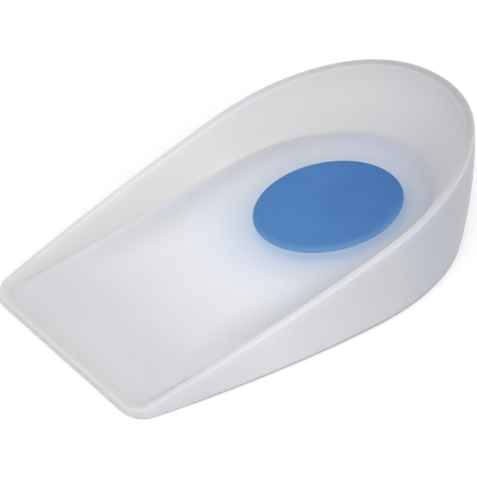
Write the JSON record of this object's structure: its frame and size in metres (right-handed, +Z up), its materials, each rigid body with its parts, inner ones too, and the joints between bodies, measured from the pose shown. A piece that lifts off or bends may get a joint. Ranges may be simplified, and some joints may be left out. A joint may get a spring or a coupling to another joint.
{
  "type": "heel cup",
  "caption": "Soft silicone heel cup for a shoe: an open bowl round the heel that tapers to a thin toe edge, with a softer oval cushioning spot let into its floor.",
  "frame": {"origin": "middle of the cup's outline on the surface that it rests on", "axes": "+Z up, +Y towards the back of the heel, -Y towards the thin toe edge, +X across"},
  "size_m": [0.0654, 0.105, 0.0229],
  "materials": {
    "milky_silicone": "satin",
    "blue_silicone": "satin"
  },
  "bodies": {
    "root": {"cup_shell": "milky_silicone", "heel_spot": "blue_silicone"}
  },
  "joints": []
}
